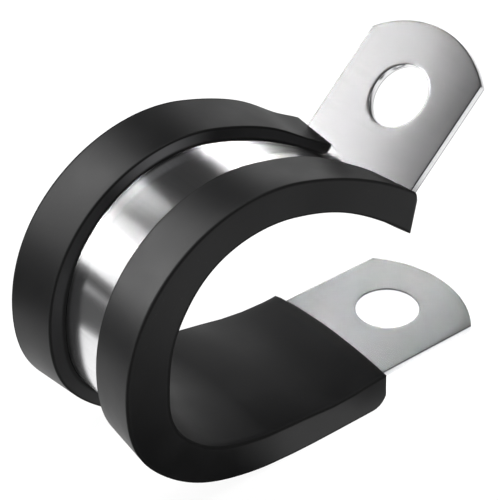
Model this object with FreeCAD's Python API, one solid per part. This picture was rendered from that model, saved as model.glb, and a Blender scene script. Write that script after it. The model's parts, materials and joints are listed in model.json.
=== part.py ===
import FreeCAD, Part
import math
import os

# Rubber-lined P clip, sprung open. Millimetres, +Z up.
# The origin is the centre of the lower tab's hole, halfway through the steel.
# The loop lies towards -X, its axis runs along Y, and the mouth opens towards +X.
# Offsets called "out" are measured from the band's middle plane, away from the loop's inside.

# Steel band
BAND_WIDTH = 15.0
BAND_THICKNESS = 0.8
BAND_EDGE_BREAK = 0.12
HOLE_DIAMETER = 6.4
HOLE_TO_TAB_END = 7.4
TAB_END_RADIUS = 11.2

# Path of the band, from the lower tab round to the upper one
LOOP_DIAMETER = 25.0
HOLE_TO_LOOP_CENTRE = 21.8
LOOP_TURN = 195.0
REACH_RADIUS = 33.0
REACH_TURN = 24.0
BEND_RADIUS = 0.8
UPPER_TAB_RISE = 44.0
BEND_TO_UPPER_HOLE = 7.9

# Rubber lining
LINING_FLOOR = 0.9
LINING_CROWN = 0.7
LINING_SIDE = 1.4
LIP_HEIGHT = 1.95
LIP_FALL = 0.5
CHANNEL_WIDTH = 6.9
RIM_ROUND = 0.3
SLOT_CLEARANCE = 0.03
HOLE_TO_LINING = 7.8
LINING_OVERRUN = 2.3
LINING_RAKE = 29.0
LOWER_LIP_ROUND = 1.7
UPPER_LIP_ROUND = 1.0

# How far cutting tools reach past what they cut
REACH_PAST = 5.0

HALF_BAND = BAND_THICKNESS / 2
LOOP_RADIUS = LOOP_DIAMETER / 2 + HALF_BAND
REACH_MIDDLE = REACH_RADIUS + HALF_BAND
BEND_MIDDLE = BEND_RADIUS + HALF_BAND

# Angles about each arc's centre, in degrees from +X towards +Z
LOOP_START_ANGLE = 270.0
LOOP_END_ANGLE = LOOP_START_ANGLE - LOOP_TURN
BEND_START_ANGLE = LOOP_END_ANGLE - REACH_TURN
BEND_END_ANGLE = 90.0 + UPPER_TAB_RISE

ACROSS = FreeCAD.Vector(0, 1, 0)
DOWN = FreeCAD.Vector(0, 0, -1)


def direction(angle):
    """Unit vector in the XZ plane at an angle in degrees."""
    turn = math.radians(angle)
    return FreeCAD.Vector(math.cos(turn), 0, math.sin(turn))


LOOP_CENTRE = FreeCAD.Vector(-HOLE_TO_LOOP_CENTRE, 0, LOOP_RADIUS)
REACH_CENTRE = LOOP_CENTRE + direction(LOOP_END_ANGLE) * (LOOP_RADIUS - REACH_MIDDLE)
BEND_CENTRE = REACH_CENTRE + direction(BEND_START_ANGLE) * (REACH_MIDDLE + BEND_MIDDLE)
UPPER_TAB_START = BEND_CENTRE - direction(BEND_END_ANGLE) * BEND_MIDDLE
UPPER_TAB_ALONG = direction(UPPER_TAB_RISE)
UPPER_TAB_OUT = direction(BEND_END_ANGLE)
UPPER_HOLE = UPPER_TAB_START + UPPER_TAB_ALONG * BEND_TO_UPPER_HOLE


def lower_point(x, out):
    """Point of the lower tab and the flat strip, beside the band's middle plane."""
    return FreeCAD.Vector(x, 0, -out)


def loop_point(angle, out):
    return LOOP_CENTRE + direction(angle) * (LOOP_RADIUS + out)


def reach_point(angle, out):
    return REACH_CENTRE + direction(angle) * (REACH_MIDDLE + out)


def bend_point(angle, out):
    return BEND_CENTRE - direction(angle) * (BEND_MIDDLE - out)


def upper_point(along, out):
    """Point of the upper tab, at a distance along it from the end of the bend."""
    return UPPER_TAB_START + UPPER_TAB_ALONG * along + UPPER_TAB_OUT * out


def line(start, end):
    return Part.LineSegment(start, end).toShape()


def arc(start, middle, end):
    return Part.Arc(start, middle, end).toShape()


def parabola(start, top, end):
    """Shallow curve between two points, with its top halfway between them."""
    curve = Part.BezierCurve()
    curve.setPoles([start, top * 2 - (start + end) / 2, end])
    return curve.toShape()


def arc_on(point_at, start_angle, end_angle, out):
    """Arc of one stretch of the path, at an offset from the band's middle plane."""
    middle_angle = (start_angle + end_angle) / 2
    ends = [point_at(angle, out) for angle in (start_angle, middle_angle, end_angle)]
    return arc(*ends)


def solid_across(edges, width):
    """Solid made from an outline in the XZ plane, centred on Y."""
    outline = Part.Wire(Part.sortEdges(edges)[0])
    solid = Part.Face(outline).extrude(ACROSS * width)
    solid.translate(ACROSS * (-width / 2))
    return solid


def bent_strip():
    """The band's strip, with square ends, folded along its path."""
    lower_end = HOLE_TO_TAB_END
    upper_end = BEND_TO_UPPER_HOLE + HOLE_TO_TAB_END
    edges = []
    for out in (-HALF_BAND, HALF_BAND):
        edges.append(line(lower_point(lower_end, out), lower_point(-HOLE_TO_LOOP_CENTRE, out)))
        edges.append(arc_on(loop_point, LOOP_START_ANGLE, LOOP_END_ANGLE, out))
        edges.append(arc_on(reach_point, LOOP_END_ANGLE, BEND_START_ANGLE, out))
        edges.append(arc_on(bend_point, BEND_START_ANGLE, BEND_END_ANGLE, out))
        edges.append(line(upper_point(0, out), upper_point(upper_end, out)))
    edges.append(line(lower_point(lower_end, -HALF_BAND), lower_point(lower_end, HALF_BAND)))
    edges.append(line(upper_point(upper_end, -HALF_BAND), upper_point(upper_end, HALF_BAND)))
    return solid_across(edges, BAND_WIDTH)


def tab_waste(hole_centre, along, normal):
    """What is punched out of a tab: its hole, and all that lies past its arc end."""
    depth = BAND_THICKNESS + 2 * REACH_PAST
    foot = hole_centre - normal * (depth / 2)
    hole = Part.makeCylinder(HOLE_DIAMETER / 2, depth, foot, normal)
    arc_centre = foot + along * (HOLE_TO_TAB_END - TAB_END_RADIUS)
    kept = Part.makeCylinder(TAB_END_RADIUS, depth, arc_centre, normal)
    side = ACROSS * (BAND_WIDTH / 2 + REACH_PAST)
    far = along * (HOLE_TO_TAB_END + REACH_PAST)
    corners = [foot - side, foot - side + far, foot + side + far, foot + side, foot - side]
    past_hole = Part.Face(Part.makePolygon(corners)).extrude(normal * depth)
    return past_hole.cut(kept).fuse(hole)


def steel_band():
    """One strip with two punched tabs, every cut edge slightly broken."""
    along = FreeCAD.Vector(1, 0, 0)
    band = bent_strip()
    band = band.cut(tab_waste(FreeCAD.Vector(0, 0, 0), along, DOWN * -1))
    band = band.cut(tab_waste(UPPER_HOLE, UPPER_TAB_ALONG, UPPER_TAB_OUT))
    broad = [face for face in band.Faces if is_broad_face(face)]
    rims = [edge for face in broad for edge in face.Edges if is_cut_edge(edge, broad)]
    return band.makeChamfer(BAND_EDGE_BREAK, rims)


def is_broad_face(face):
    """True for the band's inner and outer faces, false for its cut edges and holes."""
    start, end, first, last = face.ParameterRange
    normal = face.normalAt((start + end) / 2, (first + last) / 2)
    across_only = abs(normal.y) < 0.5
    thin = min(edge.Length for edge in face.Edges) < 1.01 * BAND_THICKNESS
    return across_only and not thin


def is_cut_edge(edge, broad):
    """True for an edge that only one broad face has."""
    owners = [face for face in broad if any(edge.isSame(other) for other in face.Edges)]
    return len(owners) == 1


def rounded_corner(before, corner, after, radius):
    """Ends and middle of the arc that rounds a corner between two straight lines."""
    back = (before - corner).normalize()
    ahead = (after - corner).normalize()
    half_angle = back.getAngle(ahead) / 2
    inward = (back + ahead).normalize()
    tangent = radius / math.tan(half_angle)
    centre = corner + inward * (radius / math.sin(half_angle))
    return corner + back * tangent, centre - inward * radius, corner + ahead * tangent


def lining_section(foot, outward):
    """The lining's profile, on a foot point of the band's middle plane.

    It is a C: a crowned floor inside the loop, a side past each edge of the band,
    and two lips that turn back over the band with a channel between them.
    """
    side = BAND_WIDTH / 2 + LINING_SIDE
    channel = CHANNEL_WIDTH / 2
    slot = BAND_WIDTH / 2 + SLOT_CLEARANCE
    slot_top = HALF_BAND + SLOT_CLEARANCE
    floor = -(HALF_BAND + LINING_FLOOR)
    rim = HALF_BAND + LIP_HEIGHT

    def at(y, out):
        return foot + ACROSS * y + outward * out

    inner_edge = at(side, floor)
    lip_edge = at(channel, rim - LIP_FALL)
    start, middle, end = rounded_corner(inner_edge, at(side, rim), lip_edge, RIM_ROUND)
    turns = [lip_edge, at(channel, slot_top), at(slot, slot_top), at(slot, -slot_top)]
    half = [line(inner_edge, start), arc(start, middle, end), line(end, lip_edge)]
    half += [line(before, after) for before, after in zip(turns, turns[1:])]
    mirrored = [edge.mirror(foot, ACROSS) for edge in half]
    crown = parabola(at(-side, floor), at(0, floor - LINING_CROWN), inner_edge)
    closing = [crown, line(at(-slot, -slot_top), at(slot, -slot_top))]
    return Part.Face(Part.Wire(Part.sortEdges(half + mirrored + closing)[0]))


def swept_lining():
    """The profile carried along the flat strip, round the loop and along the reach."""
    spare = math.degrees((LINING_OVERRUN + REACH_PAST) / REACH_MIDDLE)
    start = lower_point(-HOLE_TO_LINING, 0)
    flat = lining_section(start, DOWN).extrude(lower_point(-HOLE_TO_LOOP_CENTRE, 0) - start)
    loop = lining_section(loop_point(LOOP_START_ANGLE, 0), direction(LOOP_START_ANGLE))
    loop = loop.revolve(LOOP_CENTRE, ACROSS, LOOP_TURN)
    reach = lining_section(loop_point(LOOP_END_ANGLE, 0), direction(LOOP_END_ANGLE))
    reach = reach.revolve(REACH_CENTRE, ACROSS, REACH_TURN + spare)
    return flat.fuse([loop, reach]).removeSplitter()


def lining_end_angle():
    return BEND_START_ANGLE - math.degrees(LINING_OVERRUN / REACH_MIDDLE)


def upper_end_line():
    """The inner end of the upper cut, and the direction that the cut runs out in."""
    angle = lining_end_angle()
    return reach_point(angle, -(HALF_BAND + LINING_FLOOR)), direction(angle + LINING_RAKE)


def upper_waste():
    """What the raked cut takes off the upper end."""
    inner, outward = upper_end_line()
    ahead = FreeCAD.Vector(outward.z, 0, -outward.x)
    low = inner - outward * REACH_PAST
    high = inner + outward * (2 * REACH_PAST)
    far = ahead * (3 * REACH_PAST)
    corners = [low, high, high + far, low + far, low]
    edges = [line(start, end) for start, end in zip(corners, corners[1:])]
    return solid_across(edges, BAND_WIDTH + 2 * (LINING_SIDE + REACH_PAST))


def bend_room():
    """The room that the bend and the upper tab take at the end of the slot."""
    slot_top = HALF_BAND + SLOT_CLEARANCE
    past = math.degrees((LINING_OVERRUN + REACH_PAST) / REACH_MIDDLE)
    before = BEND_START_ANGLE + math.degrees(BEND_RADIUS / REACH_MIDDLE)
    far_angle = BEND_START_ANGLE - past
    tall = LIP_HEIGHT + REACH_PAST
    far_low = reach_point(far_angle, -slot_top)
    far_high = upper_point(tall, -HALF_BAND - REACH_PAST)
    edges = [
        line(reach_point(before, slot_top), reach_point(before, -slot_top)),
        arc_on(reach_point, before, far_angle, -slot_top),
        line(far_low, far_high),
        line(far_high, upper_point(tall, slot_top)),
        line(upper_point(tall, slot_top), upper_point(0, slot_top)),
        arc_on(bend_point, BEND_END_ANGLE, BEND_START_ANGLE, slot_top),
        arc_on(reach_point, BEND_START_ANGLE, before, slot_top),
    ]
    return solid_across(edges, BAND_WIDTH + 2 * SLOT_CLEARANCE)


def lip_rounding(corner, back, down, radius, outward):
    """Cutters that round the outer corner of both lips where the profile ends.

    The corner is at the foot of the profile's side. The cutters follow the rim's
    fall towards the channel, and stop between the lips.
    """
    start, middle, end = rounded_corner(corner + back, corner, corner + down, radius)
    clear = corner - (back + down) * radius
    edges = [line(start, clear), line(clear, end), arc(end, middle, start)]
    face = Part.Face(Part.Wire(Part.sortEdges(edges)[0]))
    side = BAND_WIDTH / 2 + LINING_SIDE
    channel = CHANNEL_WIDTH / 2
    inward = ACROSS * -1 - outward * (LIP_FALL / (side - channel))
    face.translate(ACROSS * side - inward * REACH_PAST)
    right = face.extrude(inward * (REACH_PAST + side - channel / 2))
    return [right, right.mirror(FreeCAD.Vector(0, 0, 0), ACROSS)]


def rubber_lining():
    """The lining: swept profile, raked upper end, rounded lip ends, room for the bend."""
    lining = swept_lining().cut(upper_waste())
    rim = HALF_BAND + LIP_HEIGHT
    lower_corner = lower_point(-HOLE_TO_LINING, rim)
    back = FreeCAD.Vector(-1, 0, 0)
    lining = lining.cut(lip_rounding(lower_corner, back, DOWN * -1, LOWER_LIP_ROUND, DOWN))
    inner, outward = upper_end_line()
    lip_angle, upper_corner = rim_corner(inner, outward, rim)
    radial = direction(lip_angle)
    back = FreeCAD.Vector(-radial.z, 0, radial.x)
    lining = lining.cut(lip_rounding(upper_corner, back, outward * -1, UPPER_LIP_ROUND, radial))
    return lining.cut(bend_room())


def rim_corner(inner, outward, rim):
    """Where the raked cut meets the rim's arc: its angle on the reach, and the point."""
    radius = REACH_MIDDLE + rim
    from_centre = inner - REACH_CENTRE
    along = from_centre.dot(outward)
    run = -along + math.sqrt(along ** 2 + radius ** 2 - from_centre.Length ** 2)
    corner = inner + outward * run
    spoke = corner - REACH_CENTRE
    return math.degrees(math.atan2(spoke.z, spoke.x)), corner


PARTS = {"steel_band": steel_band, "rubber_lining": rubber_lining}

os.makedirs("parts", exist_ok=True)
for node, make in PARTS.items():
    solid = make()
    solid.exportStep("parts/" + node + ".step")
    print(node, len(solid.Solids), "solid", solid.isValid(), round(solid.Volume, 2), "mm3", solid.BoundBox)
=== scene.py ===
import json
import logging
import math
from collections.abc import Callable, Iterable
from dataclasses import dataclass
from enum import Enum

import bmesh
import bpy
from bmesh.types import BMEdge, BMesh, BMVert
from bpy.types import Material, Node, NodeSocket, Object, World
from mathutils import Matrix, Vector


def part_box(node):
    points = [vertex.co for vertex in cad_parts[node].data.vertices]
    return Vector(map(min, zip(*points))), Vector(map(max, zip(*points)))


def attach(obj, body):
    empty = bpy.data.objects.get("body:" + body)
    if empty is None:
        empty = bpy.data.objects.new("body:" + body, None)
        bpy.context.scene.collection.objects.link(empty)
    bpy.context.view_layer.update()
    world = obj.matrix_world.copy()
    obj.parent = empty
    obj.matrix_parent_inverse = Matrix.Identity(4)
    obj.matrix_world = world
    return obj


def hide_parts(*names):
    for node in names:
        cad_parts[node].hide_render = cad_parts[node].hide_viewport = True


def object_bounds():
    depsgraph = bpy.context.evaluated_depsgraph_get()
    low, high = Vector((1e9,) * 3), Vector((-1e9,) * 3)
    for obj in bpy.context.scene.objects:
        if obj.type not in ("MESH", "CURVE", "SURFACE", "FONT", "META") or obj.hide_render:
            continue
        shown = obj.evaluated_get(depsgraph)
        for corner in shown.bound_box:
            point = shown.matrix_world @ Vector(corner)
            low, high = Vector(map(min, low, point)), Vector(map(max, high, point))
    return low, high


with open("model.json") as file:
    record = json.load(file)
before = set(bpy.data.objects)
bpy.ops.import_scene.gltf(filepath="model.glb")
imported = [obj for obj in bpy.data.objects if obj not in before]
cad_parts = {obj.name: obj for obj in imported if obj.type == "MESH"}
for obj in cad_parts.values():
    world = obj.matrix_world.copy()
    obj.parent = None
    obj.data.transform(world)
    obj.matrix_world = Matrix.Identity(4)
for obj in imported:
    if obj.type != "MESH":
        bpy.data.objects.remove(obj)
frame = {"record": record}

CAD_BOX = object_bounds()
MM = 0.001
# Places closer than this, in metres, are the same place.
NEAR = 1e-7
# Points closer than this, in metres, are welded into one.
WELD = 1e-6
# How many faces make the round on an edge.
ROUND_STEPS = 3
# Edges over this angle, in degrees, stay sharp in the shading.
SHARP_ANGLE = 40.0
# The attribute that keeps each point's place on the flat strip.
FLAT_PLACE = "flat"
LOG = logging.getLogger("p_clip")

Triple = tuple[float, float, float]
Colour = tuple[float, float, float, float]
Edges = list[BMEdge]


class Slot(Enum):
    """The record's two material slots."""

    STEEL = "steel"
    RUBBER = "rubber"


# The folded line that both pieces follow


@dataclass(frozen=True)
class Stretch:
    """One straight or round stretch of the band's middle line.

    Attributes:
        length: The run along the line, in metres.
        turn: How far the line turns on the way, in degrees, anticlockwise as seen along -Y.
    """

    length: float
    turn: float = 0.0

    @classmethod
    def arc(cls, radius: float, turn: float) -> "Stretch":
        """A round stretch of one radius, in metres, through a turn in degrees."""
        return cls(radius * math.radians(abs(turn)), turn)

    @property
    def bend(self) -> float:
        """The signed curvature, in radians a metre."""
        return math.radians(self.turn) / self.length


@dataclass(frozen=True)
class Swell:
    """A soft rise or hollow along the strip, in millimetres.

    Attributes:
        run: Where it is highest.
        reach: How far it spreads to each side.
        height: Its height, negative for a hollow.
    """

    run: float
    reach: float
    height: float

    def at(self, run: float) -> float:
        """Its height at a run, both in metres."""
        return self.height * MM * math.exp(-(((run / MM - self.run) / self.reach) ** 2))


def rise(swells: Iterable[Swell], run: float) -> float:
    """The height of several swells together, at a run."""
    return sum(swell.at(run) for swell in swells)


def clamped(value: float) -> float:
    """A number kept between nought and one."""
    return min(1.0, max(0.0, value))


def spaced(start: float, end: float, step: float) -> list[float]:
    """Even stations from start to end, both among them, no further apart than a step."""
    count = math.ceil((end - start) / step)
    return [start + (end - start) * index / count for index in range(count + 1)]


def aimed(azimuth: float, elevation: float) -> Vector:
    """The direction at an azimuth from +Y towards +X and a height over the horizon, in degrees."""
    around, over = math.radians(azimuth), math.radians(elevation)
    return Vector((math.sin(around) * math.cos(over), math.cos(around) * math.cos(over), math.sin(over)))


class FoldedLine:
    """Carries points of a flat strip onto the folded clip.

    A flat point is (run along the strip, place across it, height out of the loop). The run is nought at
    the lower hole's centre.
    """

    def __init__(self, stretches: list[Stretch], set_out: tuple[Swell, ...]) -> None:
        """Lays the stretches end to end from the lower hole.

        Args:
            stretches: The stretches in order. The first starts at the origin and heads for the loop.
            set_out: Where the sprung strip lies outside or inside its round stretches.
        """
        self.set_out = set_out
        self.legs: list[tuple[float, Vector, float, float]] = []
        self.length = 0.0
        place = Vector((0.0, 0.0, 0.0))
        heading = math.pi
        for stretch in stretches:
            self.legs.append((self.length, place, heading, stretch.bend))
            place, heading = self._along(place, heading, stretch.bend, stretch.length)
            self.length += stretch.length

    @staticmethod
    def _outward(heading: float) -> Vector:
        """The direction away from the loop's inside, for a heading in radians."""
        return Vector((-math.sin(heading), 0.0, math.cos(heading)))

    def _along(self, place: Vector, heading: float, bend: float, run: float) -> tuple[Vector, float]:
        """The place and heading a run further on.

        Args:
            place: The start of the run.
            heading: The heading there, in radians.
            bend: The curvature, in radians a metre.
            run: How far to go, in metres.

        Returns:
            The new place and heading.
        """
        if not bend:
            return place + Vector((math.cos(heading), 0.0, math.sin(heading))) * run, heading
        centre = place + self._outward(heading) / bend
        turned = heading + bend * run
        return centre - self._outward(turned) / bend, turned

    def fold(self, flat: Vector) -> Vector:
        """Where a flat point lies on the folded clip.

        Args:
            flat: The run, the place across and the height out of the loop, in metres.

        Returns:
            The place in the clip's frame.
        """
        start, place, heading, bend = [leg for leg in self.legs if leg[0] <= max(flat.x, 0.0)][-1]
        middle, turned = self._along(place, heading, bend, flat.x - start)
        out = flat.z + rise(self.set_out, flat.x)
        return middle + self._outward(turned) * out + Vector((0.0, flat.y, 0.0))

    def stations(self, start: float, end: float, steps: tuple[float, ...]) -> list[float]:
        """Divides the line, closely where it is bent.

        Args:
            start: The first station, which is on the first leg.
            end: The last station.
            steps: The most between two stations on each leg.

        Returns:
            The stations in order, with the starts of the legs among them.
        """
        runs = [start]
        for place, step in zip([*[leg[0] for leg in self.legs[1 : len(steps)]], end], steps):
            runs += spaced(runs[-1], place, step)[1:]
        return runs


@dataclass(frozen=True)
class ClipLine:
    """The sizes of the clip's side view, shared by the band and the lining.

    Attributes:
        loop_centre: The loop's centre.
        loop_turn: How far the loop goes round, in degrees.
        reach_radius: The middle line's radius where the loop opens out towards the bend.
        reach_turn: How far that stretch turns, in degrees.
        bend_radius: The middle line's radius in the bend under the upper tab.
        tab_rise: The upper tab's slope, in degrees.
        bend_to_hole: From the bend's end to the upper hole's centre.
        overrun: How far the lining goes on past the bend's start.
        set_out: Where the sprung loop lies outside or inside its round stretches.
    """

    loop_centre: Vector
    loop_turn: float = 195.0
    reach_radius: float = 33.4 * MM
    reach_turn: float = 24.0
    bend_radius: float = 1.2 * MM
    tab_rise: float = 44.0
    bend_to_hole: float = 7.9 * MM
    overrun: float = 2.3 * MM
    set_out: tuple[Swell, ...] = (Swell(24.8, 4.6, -0.46), Swell(37.0, 4.0, 0.45))

    def _loop(self) -> list[Stretch]:
        """The flat stretch of the lower tab and the loop."""
        return [Stretch(-self.loop_centre.x), Stretch.arc(self.loop_centre.z, -self.loop_turn)]

    def band(self) -> FoldedLine:
        """The band's line.

        Returns:
            The line, as far as the upper hole's centre.
        """
        bend_turn = self.tab_rise + self.loop_turn + self.reach_turn - 180.0
        reach = Stretch.arc(self.reach_radius, -self.reach_turn)
        bend = Stretch.arc(self.bend_radius, bend_turn)
        return FoldedLine([*self._loop(), reach, bend, Stretch(self.bend_to_hole)], self.set_out)

    def lining(self) -> FoldedLine:
        """The lining's line, which runs on past the start of the band's bend."""
        turn = self.reach_turn + math.degrees(self.overrun / self.reach_radius)
        return FoldedLine([*self._loop(), Stretch.arc(self.reach_radius, -turn)], self.set_out)


# Shader maths


def _operator(operation: str, turned: bool = False) -> Callable[["Signal", "Number"], "Signal"]:
    """Makes an operator of one Math node.

    Args:
        operation: The node's operation.
        turned: Whether the other number stands first.

    Returns:
        The operator.
    """

    def applied(signal: "Signal", other: "Number") -> "Signal":
        """The node's result."""
        values = (other, signal) if turned else (signal, other)
        return signal.desk.maths(operation, *values)

    return applied


class Signal:
    """A number on a node's socket, so that shader maths reads as an expression."""

    def __init__(self, desk: "NodeDesk", socket: NodeSocket) -> None:
        """Wraps an output socket, with the desk that adds the nodes."""
        self.desk = desk
        self.socket = socket

    __add__ = _operator("ADD")
    __radd__ = _operator("ADD", turned=True)
    __sub__ = _operator("SUBTRACT")
    __rsub__ = _operator("SUBTRACT", turned=True)
    __mul__ = _operator("MULTIPLY")
    __rmul__ = _operator("MULTIPLY", turned=True)
    __pow__ = _operator("POWER")

    def __abs__(self) -> "Signal":
        """The size without its sign."""
        return self.desk.maths("ABSOLUTE", self)


Number = Signal | float


@dataclass(frozen=True)
class Grain:
    """How fine a noise is: its cells a metre along, across and out of the strip, and its detail."""

    cells: Triple
    detail: float = 2.0


@dataclass(frozen=True)
class Ease:
    """A smooth step, from the first number to the last one as another goes from low to high."""

    low: float
    high: float
    first: float = 0.0
    last: float = 1.0


def grey(level: float) -> Colour:
    """A solid grey."""
    return (level, level, level, 1.0)


class NodeDesk:
    """Lays out the nodes of one material or world."""

    def __init__(self, owner: Material | World) -> None:
        """Starts with an empty node tree.

        Args:
            owner: What the nodes belong to.
        """
        owner.use_nodes = True
        self.owner = owner
        self.tree = owner.node_tree
        self.tree.nodes.clear()

    def node(self, kind: str, settings: dict | None = None, sockets: dict | None = None) -> Node:
        """Adds one node.

        Args:
            kind: The node's type.
            settings: Its settings, which are set first.
            sockets: Values or links for its inputs, by name or number.

        Returns:
            The node.
        """
        made = self.tree.nodes.new(kind)
        for name, value in (settings or {}).items():
            setattr(made, name, value)
        for name, value in (sockets or {}).items():
            source = value.socket if isinstance(value, Signal) else value
            if isinstance(source, NodeSocket):
                self.tree.links.new(source, made.inputs[name])
            else:
                made.inputs[name].default_value = source
        return made

    def maths(self, operation: str, *values: Number) -> Signal:
        """The result of a Math node of one or two values."""
        made = self.node("ShaderNodeMath", {"operation": operation}, dict(enumerate(values)))
        return Signal(self, made.outputs[0])

    def eased(self, value: Number, step: Ease) -> Signal:
        """A number that follows another through a smooth step.

        Args:
            value: What it follows.
            step: The step.

        Returns:
            The eased number.
        """
        ends = {"From Min": step.low, "From Max": step.high, "To Min": step.first, "To Max": step.last}
        settings = {"interpolation_type": "SMOOTHSTEP"}
        made = self.node("ShaderNodeMapRange", settings, {"Value": value, **ends})
        return Signal(self, made.outputs["Result"])

    def split(self, vector: NodeSocket) -> list[Signal]:
        """A vector's three numbers."""
        parts = self.node("ShaderNodeSeparateXYZ", None, {"Vector": vector})
        return [Signal(self, parts.outputs[axis]) for axis in "XYZ"]

    def flat_place(self) -> tuple[NodeSocket, Signal, Signal, Signal]:
        """The place on the flat strip, as a vector and as its run, place across and height in metres."""
        vector = self.node("ShaderNodeAttribute", {"attribute_name": FLAT_PLACE}).outputs["Vector"]
        return (vector, *self.split(vector))

    def noise(self, vector: NodeSocket, grain: Grain) -> Signal:
        """Noise on a stretched place.

        Args:
            vector: The place.
            grain: How fine it is.

        Returns:
            The noise, about one half on average.
        """
        stretched = self.node("ShaderNodeVectorMath", {"operation": "MULTIPLY"}, {0: vector, 1: grain.cells})
        sockets = {"Vector": stretched.outputs["Vector"], "Scale": 1.0, "Detail": grain.detail}
        return Signal(self, self.node("ShaderNodeTexNoise", None, sockets).outputs["Fac"])

    def mixed(self, amount: Number, first: Colour | NodeSocket, second: Colour | NodeSocket) -> NodeSocket:
        """A colour between two colours."""
        made = self.node("ShaderNodeMix", {"data_type": "RGBA"}, {0: amount, 6: first, 7: second})
        return made.outputs[2]

    def mixed_shader(self, amount: Number | NodeSocket, first: NodeSocket, second: NodeSocket) -> NodeSocket:
        """A shader between two shaders."""
        return self.node("ShaderNodeMixShader", None, {0: amount, 1: first, 2: second}).outputs["Shader"]

    def bump(self, height: Number, distance: float, strength: float) -> NodeSocket:
        """A normal bent by a height, whose full step is a distance in metres."""
        sockets = {"Height": height, "Distance": distance, "Strength": strength}
        return self.node("ShaderNodeBump", None, sockets).outputs["Normal"]

    def ended(self, shader: NodeSocket, end: str = "ShaderNodeOutputMaterial") -> Material | World:
        """The material or world, after a shader has been joined to its output node."""
        self.node(end, None, {"Surface": shader})
        return self.owner

    def surface(self, sockets: dict) -> Material:
        """The material, after ending it in a Principled shader with these values or links."""
        return self.ended(self.node("ShaderNodeBsdfPrincipled", None, sockets).outputs["BSDF"])


# Finishes


@dataclass(frozen=True)
class MouldedRubber:
    """Satin black rubber with a fine grain and a few pale specks of dust, with painted shade along
    its edges and at the lips' foot, and painted light on the lip walls.

    Attributes:
        black: The colour of the painted shade along the crisp edges and of the painted contact
        shadow at the foot of the lips.
        deep: The colour of the clean rubber.
        dust_and_wall_light_tone: The colour where it is dusty, and of the painted light on the lip walls.
        gloss: The specular level.
        cloud: The broad clouds of dust and dullness.
        cloud_dust: The dust in the clouds.
        cloud_rough: The roughness in the clouds, from satin to dull.
        speck: The specks of dust.
        speck_dust: The dust in them.
        lines: Edges of the profile with painted shade on both sides of the middle: the place across,
        the height out of the loop and how far the painted shade spreads. The last one is the
        painted contact shadow at the foot of the lips.
        line_core: The share of that spread that is fully dark.
        line_dull: How much rougher the lines are.
        lip_wall: The place across of the lips' walls on the channel.
        by_wall: How the painted light on those walls fades beside them.
        painted_wall_light: Painted light on the lips' walls: a run, how far it fades, and how much.
        grain: The moulded grain.
        drawn: The faint lines along the profile.
        grain_share: The grain's share of the relief, beside the drawn lines.
        relief: The height of the relief.
        relief_strength: How strongly it shows.
    """

    # The colour of the painted shade along the edges and of the painted contact shadow at the lips' foot.
    black: Colour = grey(0.0012)
    deep: Colour = (0.0045, 0.0045, 0.0048, 1.0)
    # The colour of the dust, also used for the painted light on the lip walls.
    dust_and_wall_light_tone: Colour = (0.15, 0.15, 0.155, 1.0)
    gloss: float = 0.3
    cloud: Grain = Grain((160.0, 160.0, 160.0), 3.0)
    cloud_dust: Ease = Ease(0.42, 0.7, 0.0, 0.015)
    cloud_rough: Ease = Ease(0.3, 0.7, 0.42, 0.5)
    speck: Grain = Grain((4200.0, 4200.0, 4200.0), 1.0)
    speck_dust: Ease = Ease(0.71, 0.78, 0.0, 0.04)
    # Painted shade along the profile's edges; the last one is the painted contact shadow at the lips' foot.
    lines: tuple[Triple, ...] = (
        (8.9 * MM, 2.35 * MM, 0.32 * MM),
        (8.9 * MM, -1.3 * MM, 0.32 * MM),
        (3.45 * MM, 1.85 * MM, 0.25 * MM),
        (3.45 * MM, 0.43 * MM, 0.45 * MM),
    )
    line_core: float = 0.3
    line_dull: float = 0.45
    lip_wall: float = 3.45 * MM
    by_wall: Ease = Ease(0.05 * MM, 0.12 * MM, 1.0, 0.0)
    # Painted light on the lip walls, along the runs where they are lit.
    painted_wall_light: tuple[Triple, ...] = (
        (60.5 * MM, 6.0 * MM, 0.8),
        (50.0 * MM, 14.0 * MM, 0.12),
        (73.0 * MM, 12.0 * MM, 0.08),
    )
    grain: Grain = Grain((7000.0, 7000.0, 7000.0), 3.0)
    drawn: Grain = Grain((60.0, 2600.0, 2600.0))
    grain_share: float = 0.7
    relief: float = 0.02 * MM
    relief_strength: float = 0.4

    def material(self) -> Material:
        """Mixes the finish.

        Returns:
            The rubber's material.
        """
        desk = NodeDesk(bpy.data.materials.new("moulded_rubber"))
        vector, run, across, out = desk.flat_place()
        # Painted shade along the edges, and painted contact shadow at the foot of the lips.
        dark: Number = 0.0
        for side, height, reach in self.lines:
            away = ((abs(across) - side) ** 2.0 + (out - height) ** 2.0) ** 0.5
            near = desk.eased(away, Ease(reach * self.line_core, reach, 1.0, 0.0))
            dark = desk.maths("MAXIMUM", dark, near)
        # Painted light on the lip walls.
        painted_wall_light: Number = 0.0
        for place, reach, amount in self.painted_wall_light:
            painted_wall_light = painted_wall_light + desk.eased(abs(run - place), Ease(0.0, reach, amount, 0.0))
        on_wall = desk.eased(abs(abs(across) - self.lip_wall), self.by_wall)
        cloud = desk.noise(vector, self.cloud)
        speck = desk.eased(desk.noise(vector, self.speck), self.speck_dust)
        # Real dust in the clouds and specks, with the painted light on the lip walls.
        dust_and_wall_light = desk.eased(cloud, self.cloud_dust) + speck + painted_wall_light * on_wall
        grain = desk.noise(vector, self.grain) * self.grain_share
        relief = grain + desk.noise(vector, self.drawn) * (1.0 - self.grain_share)
        return desk.surface(
            {
                "Base Color": desk.mixed(dark, desk.mixed(dust_and_wall_light, self.deep, self.dust_and_wall_light_tone), self.black),
                "Roughness": desk.eased(cloud, self.cloud_rough) + dark * self.line_dull,
                "Specular IOR Level": self.gloss,
                "Normal": desk.bump(relief, self.relief, self.relief_strength),
            }
        )


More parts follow.
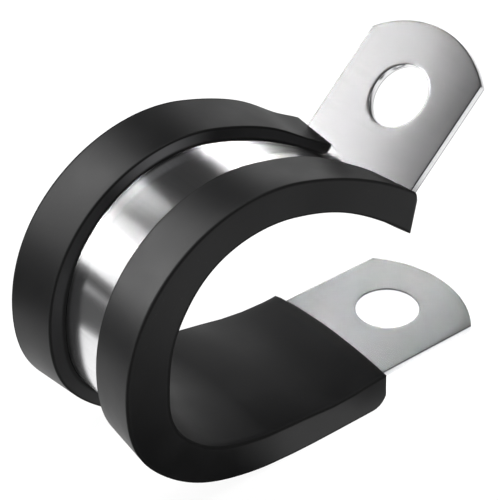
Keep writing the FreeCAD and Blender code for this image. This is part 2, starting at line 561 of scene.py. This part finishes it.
@dataclass(frozen=True)
class BrightSteel:
    """Bright rolled steel with faint lines across the strip, and painted shade along its cut edges.

    Attributes:
        pale: The metal's colour.
        shade: The metal's colour in the lines.
        painted_edge_shade: The painted shade along the corners of the cut edges.
        rough: The roughness.
        cloud: The clouds in the polish.
        cloud_rough: How much rougher the clouds are.
        fine: The fine lines.
        broad: The broad lines.
        fine_share: The fine lines' share of the streaks, beside the broad ones.
        streak: How the lines gather into streaks.
        streak_shade: How much of the shade colour a full streak has.
        streak_rough: How much rougher it is.
        lower_corner: The height of the cut edges' lower corner.
        by_corner: How the painted shade fades beside it.
        by_side: How the painted shade grows towards the strip's sides.
        by_face: How it grows there towards the outer face.
        relief: The height of the lines.
        relief_strength: How strongly it shows.
        relief_share: The fine lines' share of the relief, beside the broad ones.
    """

    pale: Colour = (0.84, 0.84, 0.85, 1.0)
    shade: Colour = (0.74, 0.74, 0.75, 1.0)
    # Painted shade along the corners of the cut edges.
    painted_edge_shade: Colour = (0.3, 0.3, 0.31, 1.0)
    rough: float = 0.2
    cloud: Grain = Grain((220.0, 220.0, 220.0), 3.0)
    cloud_rough: float = 0.04
    fine: Grain = Grain((9000.0, 150.0, 9000.0))
    broad: Grain = Grain((2600.0, 60.0, 3000.0))
    fine_share: float = 0.55
    streak: Ease = Ease(0.35, 0.65)
    streak_shade: float = 0.6
    streak_rough: float = 0.03
    # Where the painted edge shade lies: the lower corner of every cut edge and the upper corner of the
    # sides.
    lower_corner: float = -0.31 * MM
    by_corner: Ease = Ease(0.06 * MM, 0.1 * MM, 1.0, 0.0)
    by_side: Ease = Ease(7.34 * MM, 7.4 * MM)
    by_face: Ease = Ease(0.28 * MM, 0.34 * MM, 0.0, 0.6)
    relief: float = 0.001 * MM
    relief_strength: float = 0.1
    relief_share: float = 0.6

    def material(self) -> Material:
        """Mixes the finish.

        Returns:
            The steel's material.
        """
        desk = NodeDesk(bpy.data.materials.new("bright_steel"))
        vector, _, across, out = desk.flat_place()
        mean = 0.5
        cloudy = (desk.noise(vector, self.cloud) - mean) * self.cloud_rough
        fine, broad = desk.noise(vector, self.fine), desk.noise(vector, self.broad)
        streak = desk.eased(fine * self.fine_share + broad * (1.0 - self.fine_share), self.streak)
        relief = fine * self.relief_share + broad * (1.0 - self.relief_share)
        # Painted shade on the lower corner of every cut edge and on the upper corner of the strip's sides.
        upper = desk.eased(abs(across), self.by_side) * desk.eased(out, self.by_face)
        corner = desk.eased(abs(out - self.lower_corner), self.by_corner) + upper
        bright = desk.mixed(streak * self.streak_shade, self.pale, self.shade)
        return desk.surface(
            {
                "Base Color": desk.mixed(corner, bright, self.painted_edge_shade),
                "Metallic": 1.0,
                "Roughness": self.rough + cloudy + (streak - mean) * self.streak_rough,
                "Normal": desk.bump(relief, self.relief, self.relief_strength),
            }
        )


# Pieces


def edges_over(mesh: BMesh, degrees: float) -> Edges:
    """The closed mesh's edges whose faces meet at more than an angle."""
    limit = math.radians(degrees)
    return [edge for edge in mesh.edges if edge.is_manifold and edge.calc_face_angle() > limit]


def of_kind(items: Iterable[object], kind: type) -> list:
    """The items of one type, such as the points among what an operator returns."""
    return [item for item in items if isinstance(item, kind)]


def grown(mesh: BMesh, edges: Edges) -> tuple[Edges, list[BMVert]]:
    """The edges and points that extruding edges adds, which still lie on the old ones."""
    added = bmesh.ops.extrude_edge_only(mesh, edges=edges)["geom"]
    return of_kind(added, BMEdge), of_kind(added, BMVert)


def soften(mesh: BMesh, edges: Edges, width: float) -> None:
    """Rounds edges with the bevel operator.

    Args:
        mesh: The mesh.
        edges: The edges to round.
        width: The bevel's width, in metres.
    """
    sizes = {"offset": width, "offset_type": "OFFSET", "segments": ROUND_STEPS, "profile": 0.5}
    bmesh.ops.bevel(mesh, geom=edges, affect="EDGES", material=-1, clamp_overlap=True, **sizes)


def slice_at(mesh: BMesh, runs: list[float]) -> None:
    """Cuts a flat strip across, so that it can be folded.

    Args:
        mesh: The strip.
        runs: The run of each cut.
    """
    for run in runs:
        geometry = [*mesh.verts, *mesh.edges, *mesh.faces]
        place, along = (run, 0.0, 0.0), (1.0, 0.0, 0.0)
        bmesh.ops.bisect_plane(mesh, geom=geometry, dist=NEAR, plane_co=place, plane_no=along)


def new_object(name: str, mesh: BMesh, material: Material) -> Object:
    """Makes an object of a mesh.

    Args:
        name: The object's name.
        mesh: Its mesh, which is freed.
        material: Its material.

    Returns:
        The object, in the scene.
    """
    data = bpy.data.meshes.new(name)
    mesh.to_mesh(data)
    mesh.free()
    data.materials.append(material)
    made = bpy.data.objects.new(name, data)
    bpy.context.scene.collection.objects.link(made)
    return made


def folded_piece(
    name: str, mesh: BMesh, fold: Callable[[Vector], Vector], material: Material
) -> Object:
    """Folds a flat mesh into a piece, shaded smooth but for its sharp edges.

    Args:
        name: The piece's name.
        mesh: Its flat mesh, which is freed. The flat places are stored for the finish.
        fold: Gives the place of a flat point on the clip.
        material: Its material.

    Returns:
        The piece, in the scene.
    """
    layer = mesh.verts.layers.float_vector.new(FLAT_PLACE)
    for vert in mesh.verts:
        vert[layer] = vert.co
        vert.co = fold(vert.co)
    for face in mesh.faces:
        face.smooth = True
    made = new_object(name, mesh, material)
    made.data.set_sharp_from_angle(angle=math.radians(SHARP_ANGLE))
    made.modifiers.new("even_normals", "WEIGHTED_NORMAL").keep_sharp = True
    return made


@dataclass
class SteelBand:
    """The strip of steel that is folded into the loop and the two tabs.

    Attributes:
        line: The folded line.
        width: The strip's width.
        thickness: The strip's thickness.
        tab_end: From a hole's centre to the end of its tab.
        finish: The steel's finish.
        hole_radius: The two holes' radius.
        end_radius: The radius of the tabs' end arcs.
        tab_foot: From a hole's centre to where its tab is joined to the plain strip.
        edge_round: The round on the rolled and punched edges.
        corner: Edges over this angle, in degrees, are rounded.
        ring_points: Points round each hole.
        ring_shares: Where the rings round a hole lie, as shares of the way to the tab's outline.
        steps: The most between two stations on each leg of the line.
    """

    line: FoldedLine
    width: float
    thickness: float
    tab_end: float
    finish: BrightSteel
    hole_radius: float = 3.2 * MM
    end_radius: float = 11.2 * MM
    tab_foot: float = 7.6 * MM
    edge_round: float = 0.1 * MM
    corner: float = 35.0
    ring_points: int = 80
    ring_shares: Triple = (0.08, 0.5, 1.0)
    steps: tuple[float, ...] = (5.0 * MM, 0.35 * MM, 0.6 * MM, 0.09 * MM)

    def _outline_reach(self, angle: float) -> float:
        """How far a tab's outline is from its hole's centre.

        Args:
            angle: The direction from the hole, in radians, nought towards the plain strip.

        Returns:
            The distance, in metres.
        """
        along, across = math.cos(angle), abs(math.sin(angle))
        level = 1e-9
        reach = self.width / 2 / max(across, level)
        if along > level:
            return min(reach, self.tab_foot / along)
        offset = self.end_radius - self.tab_end
        middle = along * offset
        return min(reach, middle + math.sqrt(middle**2 + self.end_radius**2 - offset**2))

    def _corners(self) -> list[Vector]:
        """Places the four corners of a tab's outline.

        Returns:
            The corners, from the hole's centre, with the plain strip at larger runs.
        """
        half = self.width / 2
        end = self.end_radius - self.tab_end - math.sqrt(self.end_radius**2 - half**2)
        return [Vector((run, side, 0.0)) for run in (end, self.tab_foot) for side in (half, -half)]

    def _tab(self, mesh: BMesh, centre: float, turned: bool) -> Edges:
        """Lays one flat tab round its hole.

        Args:
            mesh: The mesh to add to.
            centre: The run of the hole's centre.
            turned: Whether the plain strip goes on at smaller runs.

        Returns:
            The edges at the tab's foot, where the strip goes on.
        """
        tab = bmesh.ops.create_circle(mesh, segments=self.ring_points, radius=self.hole_radius)["verts"]
        edges = list(dict.fromkeys(edge for vert in tab for edge in vert.link_edges))
        for share in self.ring_shares:
            edges, verts = grown(mesh, edges)
            tab += verts
            for vert in verts:
                angle = math.atan2(vert.co.y, vert.co.x)
                reach = self._outline_reach(angle)
                distance = self.hole_radius + (reach - self.hole_radius) * share
                vert.co = Vector((math.cos(angle), math.sin(angle), 0.0)) * distance
        for corner in self._corners():
            min(verts, key=lambda vert: (vert.co - corner).length).co = corner
        at_foot = {vert for vert in verts if abs(vert.co.x - self.tab_foot) < NEAR}
        for vert in tab:
            vert.co.x = centre + vert.co.x * (-1.0 if turned else 1.0)
        return [edge for edge in edges if at_foot.issuperset(edge.verts)]

    def _sheet(self) -> BMesh:
        """Lays out the flat sheet.

        Returns:
            The whole sheet with its two holes, as one surface.
        """
        sheet = bmesh.new()
        edges = self._tab(sheet, 0.0, turned=False)
        runs = self.line.stations(self.tab_foot, self.line.legs[-1][0], self.steps)[1:]
        for run in [*runs, self.line.length - self.tab_foot]:
            edges, verts = grown(sheet, edges)
            for vert in verts:
                vert.co.x = run
        self._tab(sheet, self.line.length, turned=True)
        bmesh.ops.remove_doubles(sheet, verts=sheet.verts, dist=WELD)
        bmesh.ops.recalc_face_normals(sheet, faces=sheet.faces)
        return sheet

    def build(self) -> Object:
        """Builds the band and dresses it.

        Returns:
            The band's object.
        """
        mesh = self._sheet()
        bmesh.ops.solidify(mesh, geom=mesh.faces[:], thickness=self.thickness)
        middle = sum(vert.co.z for vert in mesh.verts) / len(mesh.verts)
        bmesh.ops.translate(mesh, verts=mesh.verts, vec=(0.0, 0.0, -middle))
        bmesh.ops.recalc_face_normals(mesh, faces=mesh.faces)
        soften(mesh, edges_over(mesh, self.corner), self.edge_round)
        return folded_piece("clip_band", mesh, self.line.fold, self.finish.material())


@dataclass
class RubberLining:
    """The rubber profile that covers the band's inner face and grips both of its edges.

    Attributes:
        line: The folded line, as far as the lining goes.
        side: From the middle to the lining's side.
        finish: The rubber's finish.
        band_width: The band's width.
        band_thickness: The band's thickness.
        floor: The floor's thickness at its edges.
        crown: How much thicker the floor is in the middle.
        crown_cuts: How many times the floor is divided across for its crown.
        lip: The lips' height over the band, at the rim.
        fall: How much lower the lips are at the channel.
        channel: The width between the lips.
        clearance: The gap round the band in its slot.
        start: The run at which the lining starts.
        rake: How far the upper end leans back, in degrees.
        rear_rake: The same over the band at the rear lip.
        ease: How far back from the upper end its lean dies out.
        lower_round: The round on both lips' corners at the lower end.
        upper_round: The round on the front lip's corner at the upper end.
        round_turn: The turn of those rounds between two stations, in degrees.
        edge_round: The round on the edges.
        edge_margin: How many edge rounds the lips' stations keep clear of an end.
        corner: Edges over this angle, in degrees, are rounded.
        steps: The most between two stations on each leg of the line.
        swells: Where the floor is fuller or thinner along the strip.
        rear_swells: The same for the floor's rear edge alone.
        rear_pull: How far the rear side is pulled in.
        rear_lip: Where the rear lip stands higher or lower.
        front_corner: Where the front lip's corner on the channel stands higher.
    """

    line: FoldedLine
    side: float
    finish: MouldedRubber
    band_width: float
    band_thickness: float
    floor: float = 0.9 * MM
    crown: float = 0.7 * MM
    crown_cuts: int = 23
    lip: float = 1.95 * MM
    fall: float = 0.5 * MM
    channel: float = 6.9 * MM
    clearance: float = 0.03 * MM
    start: float = 7.8 * MM
    rake: float = 29.0
    rear_rake: float = 19.0
    ease: float = 7.0 * MM
    lower_round: float = 1.7 * MM
    upper_round: float = 1.0 * MM
    round_turn: int = 15
    edge_round: float = 0.12 * MM
    edge_margin: float = 1.2
    corner: float = 45.0
    steps: Triple = (2.5 * MM, 0.35 * MM, 0.5 * MM)
    swells: tuple[Swell, ...] = (
        Swell(13.3, 3.2, -0.42),
        Swell(42.5, 8.5, 0.92),
        Swell(51.0, 4.0, 0.2),
        Swell(70.5, 6.0, -0.36),
    )
    rear_swells: tuple[Swell, ...] = (Swell(8.8, 4.0, -0.4), Swell(20.5, 3.5, 0.5))
    rear_pull: Swell = Swell(8.5, 5.0, 0.6)
    rear_lip: tuple[Swell, ...] = (
        Swell(41.0, 6.0, 0.33),
        Swell(49.0, 6.0, 0.2),
        Swell(77.2, 3.5, -0.45),
    )
    front_corner: Swell = Swell(70.5, 3.0, 0.3)

    @property
    def rim(self) -> float:
        """The rim's height over the band's middle."""
        return self.band_thickness / 2 + self.lip

    @property
    def inside(self) -> float:
        """The height of the floor's edges."""
        return -self.band_thickness / 2 - self.floor

    @property
    def slot_side(self) -> float:
        """From the middle to the slot's side wall."""
        return self.band_width / 2 + self.clearance

    @property
    def slot_top(self) -> float:
        """From the band's middle to the slot's upper wall."""
        return self.band_thickness / 2 + self.clearance

    def _half_section(self) -> list[tuple[float, float]]:
        """The corners of half the profile, from the floor's edge round to the slot's corner."""
        lip_edge = self.channel / 2
        return [
            (self.side, self.inside),
            (self.side, self.rim),
            (lip_edge, self.rim - self.fall),
            (lip_edge, self.slot_top),
            (self.slot_side, self.slot_top),
            (self.slot_side, -self.slot_top),
        ]

    def _on_floor(self, vert: BMVert) -> bool:
        """Whether a point is on the floor, before it is crowned."""
        return abs(vert.co.z - self.inside) < NEAR

    def _in_slot(self, edge: BMEdge) -> bool:
        """Whether an edge is on the slot's walls."""
        side, top = self.slot_side + WELD, self.slot_top + WELD
        return all(abs(vert.co.y) < side and abs(vert.co.z) < top for vert in edge.verts)

    def _block(self) -> BMesh:
        """Draws the straight profile.

        Returns:
            The closed block, from the lower end to the upper end.
        """
        half = self._half_section()
        outline = half + [(-across, out) for across, out in reversed(half)]
        mesh = bmesh.new()
        mesh.faces.new([mesh.verts.new((self.start, across, out)) for across, out in outline])
        floor_edge = [edge for edge in mesh.edges if all(map(self._on_floor, edge.verts))]
        bmesh.ops.subdivide_edges(mesh, edges=floor_edge, cuts=self.crown_cuts)
        for vert in filter(self._on_floor, mesh.verts[:]):
            vert.co.z -= self.crown * (1.0 - (vert.co.y / self.side) ** 2)
        moved = of_kind(bmesh.ops.extrude_face_region(mesh, geom=mesh.faces[:])["geom"], BMVert)
        bmesh.ops.translate(mesh, verts=moved, vec=(self.line.length - self.start, 0.0, 0.0))
        bmesh.ops.recalc_face_normals(mesh, faces=mesh.faces)
        return mesh

    def _round_stations(self, radius: float) -> list[float]:
        """Divides the profile for the round on its lips, clear of the round on the end's edge.

        Args:
            radius: The lips' round.

        Returns:
            How far from the end the divisions lie.
        """
        turns = range(self.round_turn, 91, self.round_turn)
        away = [radius * (1.0 - math.cos(math.radians(turn))) for turn in turns]
        return [run for run in away if run > self.edge_round * self.edge_margin]

    @staticmethod
    def _drop(away: float, radius: float) -> float:
        """How much lower a rounded corner is, at a distance from the end that it rounds."""
        short = min(radius, max(0.0, radius - away))
        return radius - math.sqrt(radius**2 - short**2)

    def _rounded(self, flat: Vector) -> Vector:
        """Rounds the corners at the lips' ends.

        Args:
            flat: A flat place on the straight profile.

        Returns:
            The flat place after rounding.
        """
        if flat.z <= self.slot_top:
            return flat
        drop = self._drop(flat.x - self.start, self.lower_round)
        if flat.y < 0.0:
            drop = max(drop, self._drop(self.line.length - flat.x, self.upper_round))
        left = 1.0 - drop / (self.rim - self.slot_top)
        return Vector((flat.x, flat.y, self.slot_top + (flat.z - self.slot_top) * left))

    def _leaned(self, flat: Vector) -> Vector:
        """Leans the upper end back, less so over the band at the rear lip.

        Args:
            flat: A flat place on the upright profile.

        Returns:
            The flat place after leaning.
        """
        near = (flat.x - self.line.length + self.ease) / self.ease
        if near <= 0.0:
            return flat
        above = max(0.0, flat.z - self.band_thickness / 2) if flat.y > 0.0 else 0.0
        back = (flat.z - above - self.inside) * math.tan(math.radians(self.rake))
        back += above * math.tan(math.radians(self.rear_rake))
        return Vector((flat.x - back * near**2, flat.y, flat.z))

    def _swollen(self, flat: Vector) -> Vector:
        """Swells the soft floor, pulls its rear side in and raises or lowers the lips.

        Args:
            flat: A flat place on the even profile.

        Returns:
            The flat place after swelling.
        """
        half = self.band_thickness / 2
        rear = clamped((1.0 + flat.y / self.side) / 2)
        fuller = rise(self.swells, flat.x) + rear**2 * rise(self.rear_swells, flat.x)
        depth = clamped((-flat.z - half) / self.floor)
        beyond = clamped((flat.y - self.band_width / 2) / (self.side - self.band_width / 2))
        pulled = self.rear_pull.at(flat.x) * beyond
        inward = (self.side - abs(flat.y)) / (self.side - self.channel / 2)
        front = self.front_corner.at(flat.x) * inward
        raised = rise(self.rear_lip, flat.x) if flat.y > 0.0 else front
        over_band = max(0.0, (flat.z - half) / self.lip)
        return Vector((flat.x, flat.y - pulled, flat.z - fuller * depth + over_band * raised))

    def _folded(self, flat: Vector) -> Vector:
        """Where a flat place on the straight profile lies on the clip."""
        return self.line.fold(self._leaned(self._swollen(self._rounded(flat))))

    def build(self) -> Object:
        """Builds the lining and dresses it.

        Returns:
            The lining's object.
        """
        mesh = self._block()
        corners = [edge for edge in edges_over(mesh, self.corner) if not self._in_slot(edge)]
        soften(mesh, corners, self.edge_round)
        first = [self.start + away for away in self._round_stations(self.lower_round)]
        last = [self.line.length - away for away in reversed(self._round_stations(self.upper_round))]
        between = self.line.stations(first[-1], last[0], self.steps)
        slice_at(mesh, [*first, *between[1:-1], *last])
        return folded_piece("clip_lining", mesh, self._folded, self.finish.material())


# Studio


class Subject(Enum):
    """What a studio light is set up for."""

    STEEL = "steel"
    RUBBER = "rubber"
    FLOOR = "floor"


ON_STEEL = (Subject.STEEL,)
ON_RUBBER = (Subject.RUBBER,)
ON_FLOOR = (Subject.FLOOR,)
ON_CLIP = (Subject.STEEL, Subject.RUBBER)
# Watts a square metre that make a light as bright as white paper.
PAPER_WHITE = 4.0


@dataclass(frozen=True)
class SoftPanel:
    """A soft studio light, aimed at the clip.

    Attributes:
        name: The light's name.
        subjects: What it lights.
        azimuth: Its direction from the clip, in degrees from +Y towards +X.
        elevation: Its height over the horizon, in degrees.
        distance: How far off it stands.
        size: Its width and height.
        glow: Its brightness against a white sheet of paper.
        roll: How far its top leans to the right as seen from the clip, in degrees.
        shadows: Whether the clip casts a shadow in its light.
    """

    name: str
    subjects: tuple[Subject, ...]
    azimuth: float
    elevation: float
    distance: float
    size: tuple[float, float]
    glow: float
    roll: float = 0.0
    shadows: bool = True

    def place(self, target: Vector, lit: dict[Subject, Object]) -> None:
        """Puts the light in the scene.

        Args:
            target: What it faces.
            lit: The object of each subject.
        """
        data = bpy.data.lights.new(self.name, "AREA")
        data.shape = "RECTANGLE"
        data.size, data.size_y = self.size
        data.energy = self.glow * PAPER_WHITE * self.size[0] * self.size[1]
        data.use_shadow = self.shadows
        made = bpy.data.objects.new(self.name, data)
        away = aimed(self.azimuth, self.elevation)
        facing = away.to_track_quat("Z", "Y").to_matrix()
        rolled = facing @ Matrix.Rotation(math.radians(self.roll), 3, "Z")
        made.matrix_world = Matrix.Translation(target + away * self.distance) @ rolled.to_4x4()
        made.visible_camera = False
        receivers = bpy.data.collections.new(self.name)
        for subject in self.subjects:
            receivers.objects.link(lit[subject])
        made.light_linking.receiver_collection = receivers
        if self.subjects == ON_STEEL:
            made.light_linking.blocker_collection = receivers
            data.cycles.use_multiple_importance_sampling = False
        bpy.context.scene.collection.objects.link(made)


@dataclass(frozen=True)
class GreyCard:
    """A soft-edged grey card that only the gloss of the clip sees, like a flag on a light table.

    Attributes:
        name: The card's name.
        centre: Its centre, in millimetres.
        size: Its width and its height or depth, in millimetres.
        turn: How far it is turned, in degrees, clockwise from above.
        tilt: How far it is tipped up from lying flat, in degrees.
        level: Its brightness.
        fade: The share of its width over which each edge fades.
    """

    name: str
    centre: Triple
    size: tuple[float, float]
    turn: float = 0.0
    tilt: float = 0.0
    level: float = 0.03
    fade: float = 0.3

    def _material(self) -> Material:
        """A dim glow that fades out at the card's edges.

        Returns:
            The material.
        """
        desk = NodeDesk(bpy.data.materials.new(self.name))
        middle = 0.5
        solid: Number = 1.0
        for part in desk.split(desk.node("ShaderNodeUVMap").outputs["UV"])[:2]:
            solid = solid * desk.eased(middle - abs(part - middle), Ease(0.0, self.fade))
        light = desk.node("ShaderNodeEmission", None, {"Color": grey(self.level)})
        clear = desk.node("ShaderNodeBsdfTransparent")
        return desk.ended(desk.mixed_shader(solid, clear.outputs["BSDF"], light.outputs["Emission"]))

    def place(self) -> None:
        """Puts the card in the scene."""
        mesh = bmesh.new()
        mesh.loops.layers.uv.new("card")
        bmesh.ops.create_grid(mesh, x_segments=1, y_segments=1, size=0.5, calc_uvs=True)
        width, depth = self.size
        bmesh.ops.scale(mesh, verts=mesh.verts, vec=(width * MM, depth * MM, 1.0))
        tipped = Matrix.Rotation(math.radians(self.tilt), 3, "X")
        turned = Matrix.Rotation(math.radians(-self.turn), 3, "Z")
        bmesh.ops.rotate(mesh, verts=mesh.verts, cent=(0.0, 0.0, 0.0), matrix=turned @ tipped)
        bmesh.ops.translate(mesh, verts=mesh.verts, vec=[place * MM for place in self.centre])
        made = new_object(self.name, mesh, self._material())
        made.visible_camera = made.visible_diffuse = made.visible_shadow = False


@dataclass
class Studio:
    """The pale floor, the soft lights and the camera.

    Attributes:
        floor_height: The floor's height.
        target: What the lights face.
        lit: The band and the lining, as the lights' subjects.
        panels: The soft lights.
        cards: The grey cards beside the clip.
        floor_size: The floor's width.
        floor_grey: Its grey.
        floor_rough: Its roughness.
        floor_gloss: Its specular level.
        room_grey: The grey of the room, as the clip reflects it.
        backdrop_grey: The grey that the camera sees past the floor.
        azimuth: The camera's direction from the clip, in degrees from +Y towards +X.
        elevation: Its height over the horizon, in degrees.
        roll: The camera's roll, in degrees.
        offset: The frame's origin in the camera's axes: right, down and away.
        focal: The focal length in the photograph's pixels.
        photo_width: The photograph's width in pixels.
        sensor: The sensor's width in millimetres.
        sight: The nearest and the farthest that the camera sees.
    """

    floor_height: float
    target: Vector
    lit: dict[Subject, Object]
    panels: tuple[SoftPanel, ...] = (
        SoftPanel("left_steel", ON_STEEL, -40.0, 18.0, 0.5, (0.11, 0.222), 1.6, 20.0),
        SoftPanel("left_steel_near", ON_STEEL, -25.2, 33.8, 0.0857, (0.053, 0.030), 0.8, -47.6),
        SoftPanel("left_steel_corner", ON_STEEL, -44.3, 33.9, 0.0891, (0.023, 0.009), 0.9, -59.3),
        SoftPanel("right_steel", ON_STEEL, 46.0, 13.8, 0.5, (0.10, 0.184), 1.4),
        SoftPanel("right_steel_near", ON_STEEL, 48.0, 19.5, 0.0797, (0.052, 0.032), 0.52, 45.0),
        SoftPanel("left_rubber", ON_RUBBER, -30.0, 33.0, 0.5, (0.15, 0.54), 9.5, 20.0),
        SoftPanel("right_rubber", ON_RUBBER, 44.0, 12.0, 0.5, (0.2, 0.25), 1.2),
        SoftPanel("front_rubber", ON_RUBBER, 215.0, 50.0, 0.5, (0.25, 0.25), 8.0),
        SoftPanel("floor_wash", ON_FLOOR, 20.0, 80.0, 0.3, (0.22, 0.22), 6.6, shadows=False),
        SoftPanel("floor_light", ON_FLOOR, 20.0, 80.0, 0.3, (0.26, 0.26), 0.9),
        SoftPanel("fill", ON_CLIP, 160.0, 60.0, 0.6, (0.3, 0.3), 0.8),
    )
    cards: tuple[GreyCard, ...] = (
        GreyCard("rear_card", (-56.7, 24.3, 6.5), (44.0, 18.0), -42.0, 90.0, 0.1, 0.1),
        GreyCard("front_left_card", (-33.0, -24.0, -2.1), (36.0, 44.0), -12.0, fade=0.2),
        GreyCard("front_right_card", (8.0, -42.0, -2.1), (26.0, 46.0), fade=0.15),
        GreyCard("foot_card", (-7.0, -12.5, -2.1), (10.0, 8.0), fade=0.4),
    )
    floor_size: float = 4.0
    floor_grey: float = 0.88
    floor_rough: float = 0.9
    floor_gloss: float = 0.1
    room_grey: float = 0.04
    backdrop_grey: float = 1.0
    azimuth: float = 216.5721
    elevation: float = 35.428
    roll: float = -1.9009
    offset: Triple = (13.8699 * MM, -6.1464 * MM, 192.1691 * MM)
    focal: float = 1901.6678
    photo_width: float = 500.0
    sensor: float = 36.0
    sight: tuple[float, float] = (0.01, 20.0)

    def _floor(self) -> Object:
        """Lays a plain pale floor.

        Returns:
            The floor's object.
        """
        mesh = bmesh.new()
        bmesh.ops.create_grid(mesh, x_segments=2, y_segments=2, size=self.floor_size / 2)
        bmesh.ops.translate(mesh, verts=mesh.verts, vec=(0.0, 0.0, self.floor_height))
        pale = NodeDesk(bpy.data.materials.new("pale_floor")).surface(
            {
                "Base Color": grey(self.floor_grey),
                "Roughness": self.floor_rough,
                "Specular IOR Level": self.floor_gloss,
            }
        )
        made = new_object("floor", mesh, pale)
        return made

    def _surround(self) -> None:
        """Sets a dim room for the reflections, with a pale view past the floor's edge."""
        desk = NodeDesk(bpy.data.worlds.new("studio"))
        dim, pale = [
            desk.node("ShaderNodeBackground", None, {"Color": grey(level)}).outputs["Background"]
            for level in (self.room_grey, self.backdrop_grey)
        ]
        seen = desk.node("ShaderNodeLightPath").outputs["Is Camera Ray"]
        mixed = desk.mixed_shader(seen, dim, pale)
        bpy.context.scene.world = desk.ended(mixed, "ShaderNodeOutputWorld")

    def _stand(self) -> Matrix:
        """Where the camera stands, at the photograph's angle.

        Returns:
            Its place and turn.
        """
        roll = math.radians(self.roll)
        back = aimed(self.azimuth, self.elevation)
        level = aimed(self.azimuth - 90.0, 0.0)
        upright = back.cross(level)
        right = level * math.cos(roll) + upright * math.sin(roll)
        up = upright * math.cos(roll) - level * math.sin(roll)
        turn = Matrix((right, up, back)).transposed().to_4x4()
        to_right, down, away = self.offset
        return Matrix.Translation(back * away - right * to_right - up * down) @ turn

    def _camera(self) -> None:
        """Puts the camera in the scene."""
        data = bpy.data.cameras.new("photo_camera")
        data.sensor_width = self.sensor
        data.lens = self.focal * self.sensor / self.photo_width
        data.clip_start, data.clip_end = self.sight
        made = bpy.data.objects.new("photo_camera", data)
        made.matrix_world = self._stand()
        bpy.context.scene.collection.objects.link(made)
        bpy.context.scene.camera = made

    def build(self) -> None:
        """Builds the studio round the clip."""
        lit = {**self.lit, Subject.FLOOR: self._floor()}
        self._surround()
        for panel in self.panels:
            panel.place(self.target, lit)
        for card in self.cards:
            card.place()
        self._camera()
        bpy.context.scene.view_settings.view_transform = "Standard"


def mount_place(name: str) -> Vector:
    """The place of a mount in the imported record."""
    return Vector(next(row["pos_m"] for row in frame["record"]["mounts"] if row["name"] == name))


def report(piece: Object) -> None:
    """Logs a piece's name, faces and size."""
    size = [round(length / MM, 2) for length in piece.dimensions]
    LOG.info("%s: %d faces, %s mm", piece.name, len(piece.data.polygons), size)


def main() -> None:
    """Builds the band, the lining and the studio in order."""
    logging.basicConfig(level=logging.INFO, format="%(message)s")
    line = ClipLine(mount_place("pipe_seat"))
    band_low, band_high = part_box("steel_band")
    lining_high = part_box("rubber_lining")[1]
    width = band_high.y - band_low.y
    # The lower tab's middle is at height nought, so its underside is half a thickness down.
    thickness = -2.0 * band_low.z

    band = SteelBand(line.band(), width, thickness, band_high.x, BrightSteel()).build()
    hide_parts("steel_band")
    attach(band, "root")
    report(band)

    lining = RubberLining(line.lining(), lining_high.y, MouldedRubber(), width, thickness).build()
    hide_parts("rubber_lining")
    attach(lining, "root")
    report(lining)

    lowest, highest = CAD_BOX
    Studio(lowest.z, (lowest + highest) / 2, {Subject.STEEL: band, Subject.RUBBER: lining}).build()


if __name__ == "__main__":
    main()
